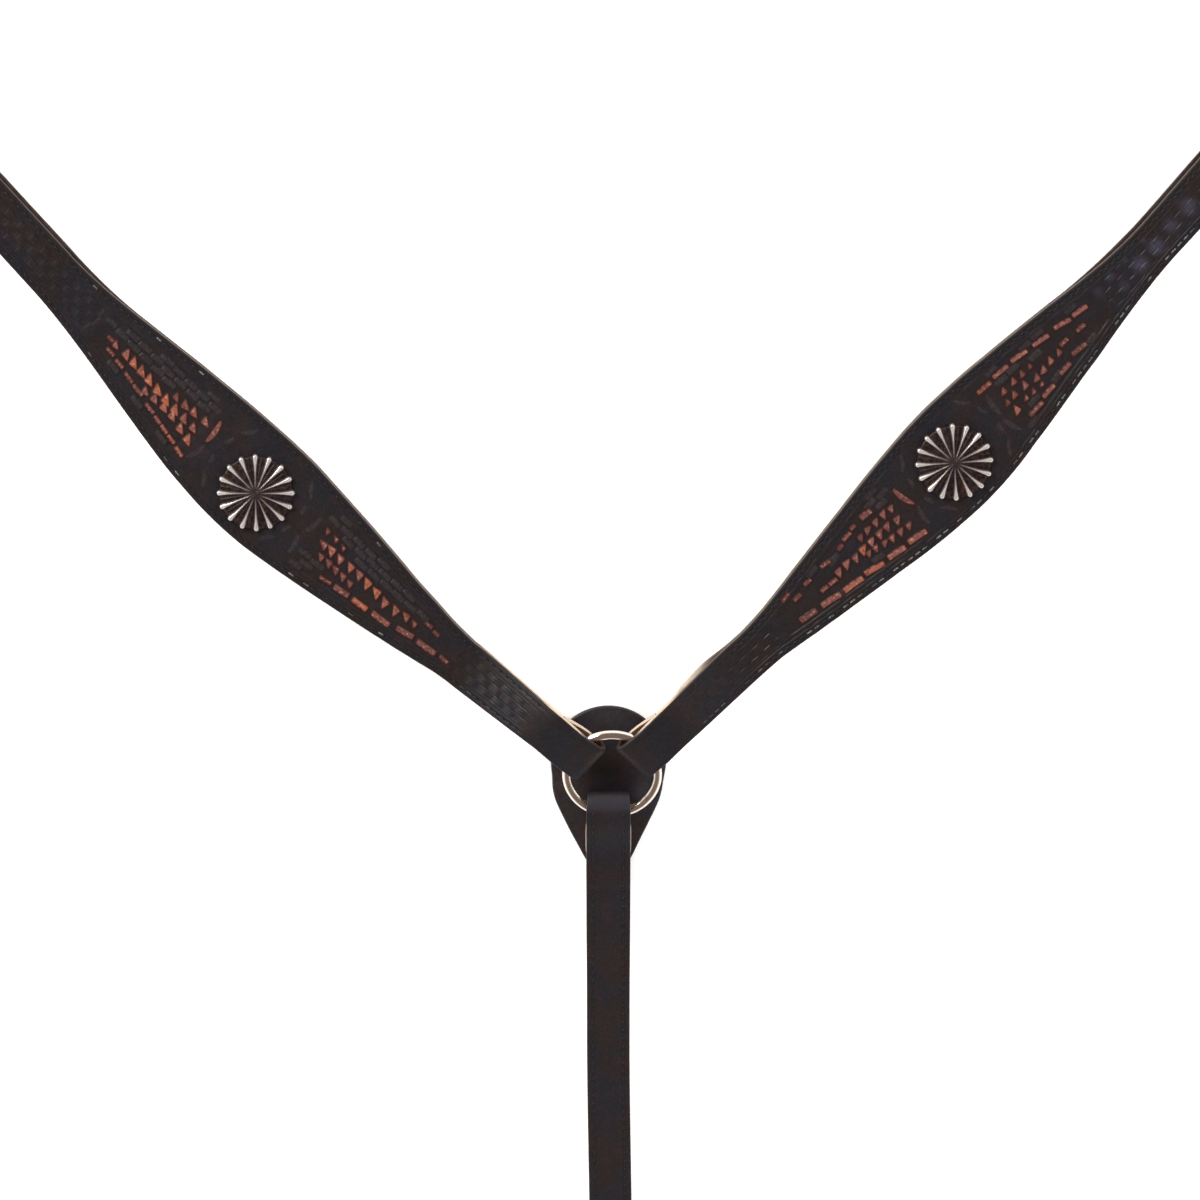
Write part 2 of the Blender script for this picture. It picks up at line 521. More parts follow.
def side_rows(i):
    """Face leather from its turned-back tail round the ring and along the flat, with strap distances."""
    fl = [(45.4, -0.62), (43.5, -0.5), (41, -0.2), (36, -1.6), (30.5, -3.1), (25, -3.1)]
    gr = [(45.6, -2.3), (44.0, -3.7), (42, -4.4), (36.5, -5.6), (31, -6.6), (25, -6.7)]
    th = np.radians(np.linspace(-90, -270, 40))
    fl += [(19.8 + 3.1 * math.cos(t), 3.1 * math.sin(t)) for t in th]
    gr += [(19.8 + 6.7 * math.cos(t), 6.7 * math.sin(t)) for t in th]
    fl += [(25, 3.1), (30.5, 3.1), (36, 1.4), (41, 0.05), (44, -0.2), (46.6, -0.39)]
    gr += [(25, 6.7), (31, 6.6), (36.5, 5.4), (42, 4.3), (44.5, 3.85), (46.8, 3.42)]
    f, g, t = resample(fl, gr, 1.05)
    v0, v1 = -14.3, 11.3
    ring = np.stack([ringp(i, f[:, 0], v0, f[:, 1]), ringp(i, f[:, 0], v1, f[:, 1]),
                     ringp(i, g[:, 0], v1, g[:, 1]), ringp(i, g[:, 0], v0, g[:, 1])], 1)
    full = loft_rows(i, 60)
    loft = full.copy()
    loft[:, 0] = full[:, 0] + SPLIT * (full[:, 3] - full[:, 0])
    loft[:, 1] = full[:, 1] + SPLIT * (full[:, 2] - full[:, 1])
    us = np.arange(106.3, 558.01, 0.69)
    fr = flat_rows(i, us, 2.8, 6.4)
    P = np.concatenate([ring, loft, fr])
    arc = np.zeros(len(P), bool)
    n0 = len(ring)
    u_of = np.concatenate([(f[:, 0] + g[:, 0]) / 2, np.full(len(P) - n0, 99.0)])
    arc[(u_of > 24.5)] = True
    arc[n0 + len(loft) + 30:] = False
    arc[:2] = False
    P = relax(P, arc, 6)
    mid = P.mean(1)
    s = np.concatenate([[0], np.cumsum(np.linalg.norm(np.diff(mid, axis=0), axis=1))])
    j = n0 + len(loft)
    su = s - s[j] + us[0]
    su[j:] = us
    return P, su


def lining_rows(i):
    full = loft_rows(i, 16)
    low = full.copy()
    low[:, 2] = full[:, 1] + SPLIT * (full[:, 2] - full[:, 1])
    low[:, 3] = full[:, 0] + SPLIT * (full[:, 3] - full[:, 0])
    us = np.arange(109, 514.01, 3.0)
    P = np.concatenate([low, flat_rows(i, us, 0.0, 2.8)])
    mid = P.mean(1)
    s = np.concatenate([[0], np.cumsum(np.linalg.norm(np.diff(mid, axis=0), axis=1))])
    return P, s - s[len(low)] + us[0]


# ---------------------------------------------------------------- tooling
def tri(x, y, a, b, skew):
    """Signed distance, roughly, inside a triangle: base b at x=+a, point at x=-a."""
    d1 = a - x
    sl = b / (4 * a)
    k = 1 / math.hypot(1, sl)
    y = y - skew * (1 - (x + a) / (2 * a)) * b
    d2 = ((x + a) * sl - y) * k
    d3 = ((x + a) * sl + y) * k
    kk = 2.4
    return 0.34 - np.log(np.exp(-kk * d1) + np.exp(-kk * d2) + np.exp(-kk * d3)) / kk


def bar(x, y, a, b, r=0.5, bow=0.0, pinch=0.0):
    y = y - bow * (1 - (x / a) ** 2)
    bb = b * (1 - pinch * np.clip(np.abs(x) / a, 0, 1) ** 2)
    qx, qy = np.abs(x) - (a - r), np.abs(y) - (bb - r)
    return r - np.hypot(np.maximum(qx, 0), np.maximum(qy, 0)) - np.minimum(np.maximum(qx, qy), 0)


# per side and panel: first and last distance from the swell's middle
PANELS = {(0, 1): dict(s0=47, s1=121), (0, -1): dict(s0=46, s1=122, s1b=146), (1, 1): dict(s0=43, s1=114),
          (1, -1): dict(s0=44, s1=116, s1b=140)}
# copper marks: triangles (u, across, size, how orange), then bars (u, across, u, across, how orange)
MARKS = {
    (0, 1): (
        [(368.0, 0.6, 1.05, 0.8), (361.9, 0.5, 1.1, 0.9), (355.4, 0.3, 1.15, 0.95), (349.0, -0.0, 1.15, 1), (341.6, -0.5, 1.2, 1), (334.3, -1.3,
         1.15, 0.95), (326.9, -1.6, 1.1, 0.85), (319.8, -1.6, 1, 0.7), (312.6, -1.7, 0.95, 0.6), (331.5, 3.9, 0.8, 0.4), (324.7, 4.6, 1, 0.75),
         (318.4, 5.1, 1, 0.75), (310.2, 5.9, 0.95, 0.65), (346.2, -6.2, 0.9, 0.5), (339.4, -5.6, 1, 0.7), (332.3, -5.0, 1.05, 0.8), (325.5, -5.3,
         1.05, 0.75), (317.4, -7.2, 1.05, 0.7), (310.0, -8.9, 1.1, 0.75), (376.4, 0.1, 0.8, 0.6)],
        [(379.2, -5.3, 373.0, -5.4, 0.15), (371.0, -6.1, 364.7, -6.8, 0.2), (362.1, -7.5, 355.3, -8.8, 0.35), (354.2, -9.1, 346.1, -9.8, 0.45),
         (341.7, -11.5, 334.5, -12.5, 0.3), (333.4, -13.0, 327.8, -14.0, 0.4), (327.3, -14.0, 321.3, -15.2, 0.6), (320.6, -15.3, 314.5, -16.4, 0.85),
         (313.0, -17.1, 306.2, -18.6, 0.7), (383.5, -0.1, 379.1, 0.0, 0.5)]),
    (0, -1): (
        [(217.4, 7.3, 0.7, 0.15), (210.6, 6.9, 0.7, 0.15), (213.9, -0.6, 1, 0.45), (208.6, -0.1, 1.15, 0.6), (201.5, -0.2, 1, 0.6), (193.9, 0.2, 1,
         0.6), (210.2, -6.7, 0.8, 0.2), (204.6, -6.5, 0.9, 0.3), (199.0, -6.8, 0.9, 0.3), (193.4, -6.9, 0.9, 0.35), (187.6, -7.3, 0.8, 0.3), (187.2,
         0.1, 1.05, 0.7), (180.6, -0.5, 1.15, 0.9), (172.9, -1.3, 1.15, 0.95), (165.8, -2.2, 1.1, 0.8), (158.0, -1.6, 1.05, 0.55), (150.6, -0.5,
         0.95, 0.45), (144.1, -0.5, 0.7, 0.25), (204.1, 6.1, 0.6, 0.1)],
        [(180.2, -12.3, 169.6, -11.5, 1), (166.4, -10.8, 154.0, -10.1, 0.62), (150.0, -8.3, 138.9, -6.2, 0.3), (136.0, -6.6, 122.8, -5.4, 0.28),
         (120.3, -4.7, 113.9, -4.9, 0.12), (192.8, -13.8, 182.8, -12.4, 0.3), (202.6, -15.2, 194.8, -13.9, 0.25), (139.6, 5.1, 134.1, 5.1, 0.15),
         (132.6, 4.2, 128.0, 3.8, 0.12)]),
    (1, 1): (
        [(353.0, -1.5, 0.85, 0.35), (346.2, -1.2, 0.95, 0.4), (339.8, -1.7, 1, 0.4), (334.0, -2.1, 0.95, 0.4), (326.2, -0.3, 1, 0.45), (318.3, 0.4,
         0.95, 0.45), (312.5, 0.0, 0.8, 0.3), (312.8, -7.0, 1.05, 0.7), (336.2, 5.2, 0.65, 0.3), (329.8, 5.4, 0.85, 0.4), (323.4, 6.1, 0.9, 0.4),
         (315.6, 6.2, 0.9, 0.4), (327.3, -6.5, 0.7, 0.3), (321.8, -6.0, 0.7, 0.3), (333.7, -6.9, 0.65, 0.2)],
        [(373.8, 6.6, 384.0, 4.7, 0.45), (361.5, 9.4, 372.2, 6.5, 0.5), (346.1, 11.6, 357.1, 9.3, 0.55), (331.2, 14.4, 342.4, 12.3, 0.6), (317.5,
         15.8, 328.6, 13.9, 0.5), (305.0, 15.8, 315.2, 14.9, 0.75), (369.1, -1.2, 375.5, -1.7, 0.22), (356.7, 0.0, 363.0, -0.2, 0.3), (357.6, -8.9,
         368.2, -9.7, 0.2), (345.1, -11.2, 353.9, -11.0, 0.45), (328.9, -13.3, 338.9, -13.0, 0.5), (316.2, -15.2, 327.3, -14.9, 0.17)]),
    (1, -1): (
        [(223.9, 4.1, 0.85, 0.3), (218.5, 5.0, 1, 0.45), (221.7, -3.3, 1, 0.45), (212.1, 4.7, 0.9, 0.4), (215.0, -1.8, 1, 0.5), (224.0, -10.4, 0.85,
         0.35), (205.3, 4.6, 0.9, 0.35), (209.0, -1.9, 1.05, 0.45), (218.2, -9.5, 0.9, 0.4), (199.6, 4.5, 0.8, 0.2), (202.4, -1.7, 1, 0.5), (212.4,
         -8.6, 0.9, 0.4), (195.7, -1.7, 1.1, 0.75), (207.0, -7.7, 0.8, 0.3), (201.5, -6.0, 0.8, 0.25), (196.5, -5.4, 0.75, 0.2), (189.5, -1.9, 1,
         0.5), (183.0, -1.0, 1.05, 0.5), (176.6, -1.1, 1, 0.55)],
        [(216.1, -16.2, 228.4, -19.6, 0.6), (201.3, -14.9, 213.4, -17.1, 0.65), (185.4, -12.2, 198.3, -14.9, 0.95), (170.2, -10.2, 183.5, -13.0,
         0.9), (154.7, -7.8, 167.9, -10.2, 0.5), (139.8, -5.3, 151.4, -7.5, 0.25), (206.6, 13.1, 214.7, 12.2, 0.2), (198.0, 12.6, 202.0, 12.6, 0.35),
         (190.4, 11.0, 197.3, 11.4, 0.42), (184.6, 9.0, 189.0, 9.7, 0.2), (170.3, 8.9, 177.3, 8.0, 0.35), (156.1, 8.1, 161.8, 8.2, 0.25), (140.4,
         10.3, 147.0, 11.3, 0.2), (166.5, -1.9, 172.5, -2.6, 0.5), (160.5, -1.4, 165.9, -1.8, 0.42), (145.6, 5.8, 151.5, 5.7, 0.35)]),
}


def shapes_of(i):
    """Stamped shapes as (u, rel, sign, kind, a, b, copper tint or None, angle, bow)."""
    rg = np.random.default_rng(11 + i)
    out = []
    for sg in (1, -1):
        p = PANELS[(i, sg)]
        tris, bars = MARKS[(i, sg)]
        size, wide = {(0, 1): (0.92, 1.35), (0, -1): (0.92, 1.95), (1, 1): (0.82, 1.5), (1, -1): (0.88, 1.95)}[(i, sg)]
        for (u, r, k, t) in tris:
            k *= size
            out.append((u, r, sg, "tri", 2.75 * k, 5.7 * k, float(np.clip(t * 0.92 + rg.normal(0, 0.09), 0, 1)), rg.normal(0, 0.14), -0.40 * sg))
        for (u0, r0, u1, r1, t) in bars:
            ln = math.hypot(u1 - u0, r1 - r0) / 2
            out.append(((u0 + u1) / 2, (r0 + r1) / 2, 1, "bar", ln, wide if ln > 4 else min(wide, 1.35),
                        float(np.clip(t * 0.85 + rg.normal(0, 0.08), 0, 1)),
                        math.atan2(r1 - r0, u1 - u0) + rg.normal(0, 0.03), 0))
        # plain raised blocks between the copper and the border
        copper = np.array([(o[0], o[1]) for o in out if o[6] is not None])
        for j, r0 in enumerate((6.4, 10.6, 14.8, 19.0, -11.0, -15.2, -19.4)):
            for s in np.arange(p["s0"] + 1 + 4.7 * (j % 2), p["s1"] + 4, 9.4):
                u = CU[i] + sg * s
                if abs(r0) > half_w(i, u) - 8.8 or np.hypot((copper[:, 0] - u) * 0.75, copper[:, 1] - r0).min() < 4.4:
                    continue
                out.append((u, r0 + rg.normal(0, 0.2), 1, "bar", 4.3 + rg.normal(0, 0.15), 1.8, None, -0.10 * sg * np.sign(r0) + rg.normal(0, 0.03), 0))
        # leaves that close the panel at the concho
        cop = {(0, 1): 0.30, (1, -1): 0.25}.get((i, sg))
        ls = {(0, 1): 39.3, (0, -1): 38.5, (1, 1): 36.0, (1, -1): 37.6}[(i, sg)]
        out.append((CU[i] + sg * ls, 4.6, sg, "leaf", 7.6, 1.75, cop, math.pi / 2 - 0.16 * sg, 0.9))
        out.append((CU[i] + sg * (ls - 0.6), -11.2, sg, "leaf", 6.6, 1.6, None, math.pi / 2 + 0.22 * sg, 0.9))
        for ang, rr, ln in ((38, 31.5, 5.4), (62, 31.0, 5.0), (-38, 31.5, 5.4), (-62, 31.0, 5.0), (14, 30.6, 3.4), (-14, 30.6, 3.4)):
            a = math.radians(ang)
            uu, vv = CU[i] + sg * rr * math.cos(a), rr * math.sin(a)
            if abs(vv) < half_w(i, uu) - 7.5:
                out.append((uu, vv, sg, "leaf", ln, 1.45, None, (math.pi / 2 + a) * sg, 0.8))
    return out


# bluish blotches left by the dye: place on the strap, radius and strength
HAZE = [(404.6, 6.5, 2.6, 0.5),
        (421.2, -1.5, 4.6, 1),
        (434.4, -1.4, 4.4, 1),
        (448.9, 0.3, 4.2, 0.7),
        (463.1, 0.3, 4.6, 0.95),
        (406.0, -3.2, 3.0, 0.45),
        (417.3, 6.5, 1.6, 0.5),
        (431.8, 6.3, 1.5, 0.5),
        (393.7, 5.5, 2.4, 0.35)]


def tooling(i):
    def relief(U, X, H):
        n, m = X.shape
        u = U[:, 0]
        inset = H - np.abs(X)
        flatz = smooth01(U, 50, 60)
        h = -0.42 * np.exp(-((inset - 3.0) / 0.62) ** 2) * smooth01(U, 46, 60)
        line = smooth01(U, 50, 62) * (1 - smooth01(U, 512, 516))
        h = h - 0.46 * np.exp(-((inset - 5.6) / 0.40) ** 2) * line
        h = h - 0.10 * smooth01(inset, 5.6, 6.1) * line
        # where each panel lies
        s = np.abs(U - CU[i])
        up = (U > CU[i])
        end = np.where(up, PANELS[(i, 1)]["s1"] + 8, PANELS[(i, -1)].get("s1b") + 6)
        # basket stamp on the necks, out to the border line
        d_arc = s - end - 0.035 * X**2
        bask = smooth01(d_arc, 0.0, 0.8) * smooth01(inset, 6.2, 7.0) * smooth01(U, 52, 66) * (1 - smooth01(U, 510, 514))
        pitch, rh = 9.6, 5.2
        rr = X / rh
        kr = np.floor(rr + 0.5)
        y = (rr - kr) * rh
        ss = U / pitch + 0.5 * (kr % 2)
        x = (ss - np.floor(ss) - 0.5) * pitch
        pillow = np.clip(1 - (np.abs(x) / 4.75) ** 5, 0, 1) * np.clip(1 - (np.abs(y) / 2.5) ** 6, 0, 1)
        ends = np.exp(-((np.abs(x) - 2.9) / 0.55) ** 2) * np.clip(1 - (np.abs(y) / 2.3) ** 4, 0, 1)
        ribs = 0.10 * np.cos(2 * math.pi * y / 1.7) * np.clip(1 - (np.abs(x) / 2.5) ** 4, 0, 1)
        h = h + bask * (-0.55 + 0.49 * pillow * (1 - 0.25 * (x / 4.8) ** 2) - 0.34 * ends + ribs)
        # arcs that close the basket towards the panels
        h = h - 0.12 * np.exp(-((d_arc + 1.2) / 0.45) ** 2) * smooth01(inset, 5.4, 6.0)
        # stamped shapes
        Y = X + stray(i, U)[0]
        D = np.full((n, m), -3.0)
        cop = np.full((n, m), -3.0)
        tint = np.zeros((n, m))
        pal = np.full((n, m), -3.0)
        for (uc, rc, sg, kind, a, b, t, ang, bow) in shapes_of(i):
            w = (abs(a) + 2.6) * 1.15 if kind != "tri" else 5.2
            j0, j1 = np.searchsorted(u, uc - w), np.searchsorted(u, uc + w)
            if j1 <= j0:
                continue
            dx, dy = (U[j0:j1] - uc) * sg, Y[j0:j1] - rc
            c, sn = math.cos(ang * sg), math.sin(ang * sg)
            lx, ly = dx * c + dy * sn, -dx * sn + dy * c
            if kind == "tri":
                d = tri(lx, ly, a, b, bow)
                d = np.minimum(d, 1.2)
            elif kind == "leaf":
                d = bar(lx, ly, a, b, 0.6, bow, 0.55)
            else:
                d = bar(lx, ly, a, b, 0.45, 0.25, 0.10)
                notch = 0.45 - np.hypot(np.abs(lx) - a * 0.36, np.abs(ly) - b * 1.05) * 0.9
                d = np.minimum(d, -notch + 0.05)
            D[j0:j1] = np.maximum(D[j0:j1], d)
            if t is None:
                pal[j0:j1] = np.maximum(pal[j0:j1], d)
            else:
                new = d > cop[j0:j1]
                cop[j0:j1] = np.where(new, d, cop[j0:j1])
                tint[j0:j1] = np.where(new, t, tint[j0:j1])
        start = np.where(up, PANELS[(i, 1)]["s0"], PANELS[(i, -1)]["s0"]) - 4.0
        panel = smooth01(end - s - 0.02 * X**2, 0.0, 8.0) * smooth01(inset, 7.4, 8.2) * smooth01(s - start - 0.012 * X**2, -1.0, 5.0)
        sunk = -0.62 * panel
        rise = smooth01(D, -0.30, 0.34)
        h = h + sunk * (1 - rise) - 0.02 * rise * panel
        back = panel * (1 - rise)
        h = h + 0.05 * back * np.sin(U * 5.1) * np.sin(X * 5.3)
        # soft pillow across the whole strap
        h = h - 0.25 * np.clip(np.abs(X) / H, 0, 1) ** 6
        haze = np.zeros(X.shape)
        for u0, v0, r0, a0 in (HAZE if i == 1 else ()):
            haze = np.maximum(haze, a0 * np.exp(-(((U - u0) / r0) ** 2 + ((Y - v0) / r0) ** 2) ** 1.4))
        return {"h": h, "cop": cop, "tint": tint, "pal": pal, "haze": haze}
    return relief


def surface_point(P, su, s, x, lift):
    """Points on the grain side at strap distance s and x across, with the strap direction and normal."""
    W, T = sizes(P)
    idx = np.interp(s, su, np.arange(len(su)))
    a = np.clip(np.floor(idx).astype(int), 0, len(su) - 2)
    f = (idx - a)[:, None, None]
    Q = P[a] * (1 - f) + P[a + 1] * f
    w, t = sizes(Q)
    pt = place_section(Q, x[:, None], (t + lift)[:, None])[:, 0]
    d = (P[a + 1] - P[a]).mean(1)
    up = (Q[:, 2] + Q[:, 3] - Q[:, 0] - Q[:, 1]) / 2
    return pt, d, up


for i in (0, 1):
    s = SIDE[i]
    P, su = side_rows(i)
    face = skin(f"{s}_face_skin", P, su, 88, M_TOOLED, r=1.15, relief=tooling(i), flip=(i == 0),
                ek=lambda U, x: (x > 0) * (1 - smooth01(U, -9, -4) + smooth01(U, 22, 31)) * (1 - 0.80 * smooth01(U, 46, 62)))
    L, sl = lining_rows(i)
    g = np.zeros(len(L))
    up = 0.25 + 0 * g
    if i == 0:
        up = up + 1.7 * smooth01(sl, 380, 440) * (1 - smooth01(sl, 490, 512))
    else:
        up = up + 2.1 * smooth01(sl, 52, 66) * (1 - smooth01(sl, 76, 104)) + 1.7 * smooth01(sl, 375, 430) * (1 - smooth01(sl, 490, 512))
    lining = skin(f"{s}_lining_skin", L, sl, 12, M_LINING, r=0.5, rb=0.4, flip=(i == 0), grow=(g, up), k=3,
                  dyed=lambda U, x: (0.9 * smooth01(U, (84, 66)[i], (112, 90)[i]) + 0.10 * smooth01(U, 330, 400)) * (x > -9) + 0.1 * (x < 0))
    # stitches inside both edges, 5 to the inch
    pts, ds, ups, lit = [], [], [], []
    rs = np.random.default_rng(5 + i)
    st = np.arange(58, 510, 5.08)
    W, T = sizes(P)
    for sg in (-1, 1):
        half = np.interp(st, su, W / 2)
        x = sg * (half - 3.0)
        p, d, u = surface_point(P, su, st, x, np.full(len(st), -0.14))
        p2, _, _ = surface_point(P, su, st + 1.0, sg * (np.interp(st + 1.0, su, W / 2) - 3.0), np.full(len(st), -0.14))
        pts.append(p); ds.append(p2 - p); ups.append(u)
        # the thread is worn pale here and there, most of all along the right side's lower edge
        pale = (0.62 if i else 0.12) if sg < 0 else (0.04 if i else 0.06)
        lit.append((rs.random(len(st)) < pale) * rs.uniform(0.25, 1.0, len(st)) * (0.35 + 0.65 * smooth01(st, 90, 140)))
    stitches = capsules(f"{s}_stitches", np.concatenate(pts), np.concatenate(ds), np.concatenate(ups), 3.7, 0.52,
                        M_THREAD, flip=False, lit=np.concatenate(lit))
    for o in (face, lining, stitches):
        if i == 0:
            co = np.zeros(len(o.data.vertices) * 3, np.float32)
            o.data.vertices.foreach_get("co", co)
            co = co.reshape(-1, 3)
            co[:, 0] *= -1
            o.data.vertices.foreach_set("co", co.ravel())
            if o is stitches:
                o.data.flip_normals()
            o.data.update()
        c = mirror(flat(i, np.array([95.0, 125.0]), line_y(i, [95.0, 125.0]), 3.2), i) * MM
        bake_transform(o)
    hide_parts(f"{s}_ring_end", f"{s}_face")
    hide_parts(f"{s}_lining")

# ---------------------------------------------------------------- conchos
def concho(i):
    s = SIDE[i]
    nr, per, ribs = 60, 22, 16
    nt = ribs * per
    th = np.arange(nt) / per
    dth = (th - np.round(th)) * 2 * math.pi / ribs
    ang0 = np.round(th)
    rc, rho = 21.1, 1.66
    inside = rc * np.abs(np.sin(dth)) < rho
    Rt = np.where(inside, rc * np.cos(dth) + np.sqrt(np.maximum(rho**2 - (rc * np.sin(dth)) ** 2, 0)), 0)
    Rg = 21.2
    Rm = np.maximum(Rt, Rg)
    t = np.concatenate([np.linspace(0, 0.9, nr - 14), 0.9 + 0.1 * np.sin(np.linspace(0, math.pi / 2, 15))[1:]])
    r = t[:, None] * Rm[None, :]
    dist = np.abs(r * np.sin(dth)[None, :])
    w = np.interp(r, [0, 4, 8, 12, 16, 19, 21, 22.8], [0.30, 0.36, 0.46, 0.62, 0.92, 1.32, 1.62, 1.66])
    along = np.maximum(r * np.cos(dth)[None, :] - rc, 0)
    ds = w - np.hypot(dist, along)
    q = np.clip(1 - np.hypot(dist, along) / w, 0, 1)
    rib = np.sqrt(np.clip(1 - (1 - q) ** 2, 0, 1)) * np.interp(r, [0, 3, 8, 16, 23], [0.15, 0.45, 0.80, 1.35, 1.75])
    dome = 1.55 + 2.15 * (1 - (r / 23.5) ** 2)
    mid = np.exp(-((np.abs(r * np.sin(math.pi / ribs - np.abs(dth))[None, :])) / 0.42) ** 2) * np.interp(r, [5, 9, 19, 21.3], [0, 0.28, 0.42, 0.1])
    z = dome - 0.75 * smooth01(r, 2.5, 8) + rib + mid * (ds < -0.2) + 0.30 * np.exp(-(r / 2.2) ** 2)
    edge = np.clip((1 - t) / 0.045, 0, 1)[:, None]
    z = 0.35 + (z - 0.35) * np.sqrt(np.clip(1 - (1 - edge) ** 2, 0, 1)) ** 0.8
    z = np.minimum(z, 4.68)
    a = (ang0 * 2 * math.pi / ribs + dth) + 0.11
    x, y = r * np.cos(a)[None, :], r * np.sin(a)[None, :]
    V = np.stack([x, y, z], -1)
    # skirt and bottom
    low = np.stack([x[-1] * 0.995, y[-1] * 0.995, np.full(nt, 0.02)], -1)[None]
    V = np.concatenate([V[1:], low])
    top = np.array([[0, 0, z[0].mean()]])
    base = np.array([[0, 0, 0.02]])
    n = len(V)
    verts = np.concatenate([V.reshape(-1, 3), top, base])
    quads = tube(n, nt)
    it, ib = n * nt, n * nt + 1
    fans = [[it, j, (j + 1) % nt] for j in range(nt)] + [[ib, (n - 1) * nt + (j + 1) % nt, (n - 1) * nt + j] for j in range(nt)]
    dsf = np.concatenate([ds[1:], ds[-1:]]).ravel()
    rad = np.concatenate([r[1:], r[-1:]]).ravel()
    attrs = {"ds": np.concatenate([dsf, [0.2, -1]]), "rad": np.concatenate([rad, [0, 20]]), "rp": verts.copy()}
    c = flat(i, CONCHO[i][0], CONCHO[i][1], 6.4)
    ca, sa = math.cos(R(AZ[i])), math.sin(R(AZ[i]))
    w3 = verts.copy()
    w3[:, 0] = c[0] + verts[:, 0] * ca - verts[:, 1] * sa
    w3[:, 1] = c[1] + verts[:, 0] * sa + verts[:, 1] * ca
    w3[:, 2] += 6.4
    o = make(f"{s}_concho_skin", mirror(w3, i), quads, M_CONCHO, attrs, fans, flip=(i == 0), sharp=None)
    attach(o, f"{s}_side")
    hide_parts(f"{s}_concho")


concho(0)
concho(1)

# ---------------------------------------------------------------- centre ring
nu, nv = 224, 40
aa, bb = np.meshgrid(np.arange(nu) * 2 * math.pi / nu, np.arange(nv) * 2 * math.pi / nv, indexing="ij")
x = (RING_R + WIRE * np.cos(bb)) * np.cos(aa)
y = (RING_R + WIRE * np.cos(bb)) * np.sin(aa)
z = WIRE * np.sin(bb)
V = np.stack([x, y * math.cos(TILT) - z * math.sin(TILT), RING_Z + y * math.sin(TILT) + z * math.cos(TILT)], -1)
ring = make("ring_skin", V.reshape(-1, 3), tube(nu, nv, True), M_NICKEL, {"rp": V.reshape(-1, 3)}, sharp=None)
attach(ring, "ring")
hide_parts("center_ring")

# ---------------------------------------------------------------- pad
def drift(o):
    """The pad and the near end of the tie-down lie 2 mm to the left of the ring's middle and 1 mm up."""
    co = np.zeros(len(o.data.vertices) * 3, np.float32)
    o.data.vertices.foreach_get("co", co)
    co = co.reshape(-1, 3)
    f = 1 - smooth01(-co[:, 1], 0.16, 0.34)
    co[:, 0] -= 0.0021 * f
    co[:, 1] += 0.0008 * f
    o.data.vertices.foreach_set("co", co.ravel())
    o.data.update()


def pad():
    pts = [(-33.2, -11), (-31.4, -20), (-28.2, -27), (-21.9, -40), (-15.7, -51), (-11.4, -60), (-8, -64.5), (-3, -66.5),
           (3, -66.5), (8, -64.5), (11.4, -60), (14.9, -51), (20.5, -40), (26.8, -27), (30.0, -20), (32.0, -11)]
    th = np.radians(np.linspace(-20, 196, 114))
    circ = [(33.7 * math.cos(t), 2.7 + 33.7 * math.sin(t)) for t in th]
    poly = np.array(circ + pts)
    ctr = np.array([0.0, -8.0])
    phi = np.linspace(-math.pi, math.pi, 361)[:-1]
    pa = np.arctan2(poly[:, 1] - ctr[1], poly[:, 0] - ctr[0])
    pr = np.hypot(poly[:, 0] - ctr[0], poly[:, 1] - ctr[1])
    o = np.argsort(pa)
    # radius along each direction, from the polygon's own edges
    rad = []
    q = poly[o]
    q2 = np.roll(q, -1, 0)
    for p in phi:
        d = np.array([math.cos(p), math.sin(p)])
        e = q2 - q
        den = d[0] * e[:, 1] - d[1] * e[:, 0]
        w = q - ctr
        with np.errstate(divide="ignore", invalid="ignore"):
            t = (w[:, 0] * e[:, 1] - w[:, 1] * e[:, 0]) / den
            k = (w[:, 0] * d[1] - w[:, 1] * d[0]) / den
        ok = (t > 0) & (k >= -1e-6) & (k <= 1 + 1e-6)
        rad.append(t[ok].max() if ok.any() else 30)
    rad = np.array(rad)
    for _ in range(60):
        rad = (np.roll(rad, 1) + 2 * rad + np.roll(rad, -1)) / 4
    rad = rad - 0.05
    rings, zz, ins = [], [], []
    for d, z in ((0.5, 0.0), (0.0, 0.5), (0.0, 1.45), (0.10, 2.0), (0.34, 2.42), (0.72, 2.72), (1.25, 2.84), (2.0, 2.86),
                 (3.0, 2.86), (4.3, 2.87), (5.5, 2.88), (9, 2.90), (15, 2.94), (22, 2.97)):
        rr = rad - d if d < 9 else rad * (1 - d / 33.0)
        rings.append(rr); zz.append(z); ins.append(d)
    rings.append(rad * 0.12); zz.append(2.98); ins.append(25)
    V = np.stack([np.stack([ctr[0] + r * np.cos(phi), ctr[1] + r * np.sin(phi), np.full(len(phi), z)], -1) for r, z in zip(rings, zz)])
    n, m = V.shape[:2]
    verts = V.reshape(-1, 3)
    o = make("ring_pad_skin", verts, tube(n, m)[:, ::-1], M_PAD,
             {"rp": verts, "depth": 2.9 - verts[:, 2]}, [list(range(m)), [(n - 1) * m + j for j in range(m)][::-1]], flip=True, sharp=70)
    drift(o)
    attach(o, "root")
    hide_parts("ring_pad")


pad()

# ---------------------------------------------------------------- tie-down strap
def tie_stations(fl, gr, w, step):
    f, g, t = resample(fl, gr, step)
    w0 = w(t) if callable(w) else np.full(len(t), w)
    P = np.stack([np.stack([x, -f[:, 0], f[:, 1]], -1) if j < 2 else np.stack([x, -g[:, 0], g[:, 1]], -1)
                  for j, x in enumerate((w0 / 2, -w0 / 2, -w0 / 2, w0 / 2))], 1)
    return P, t


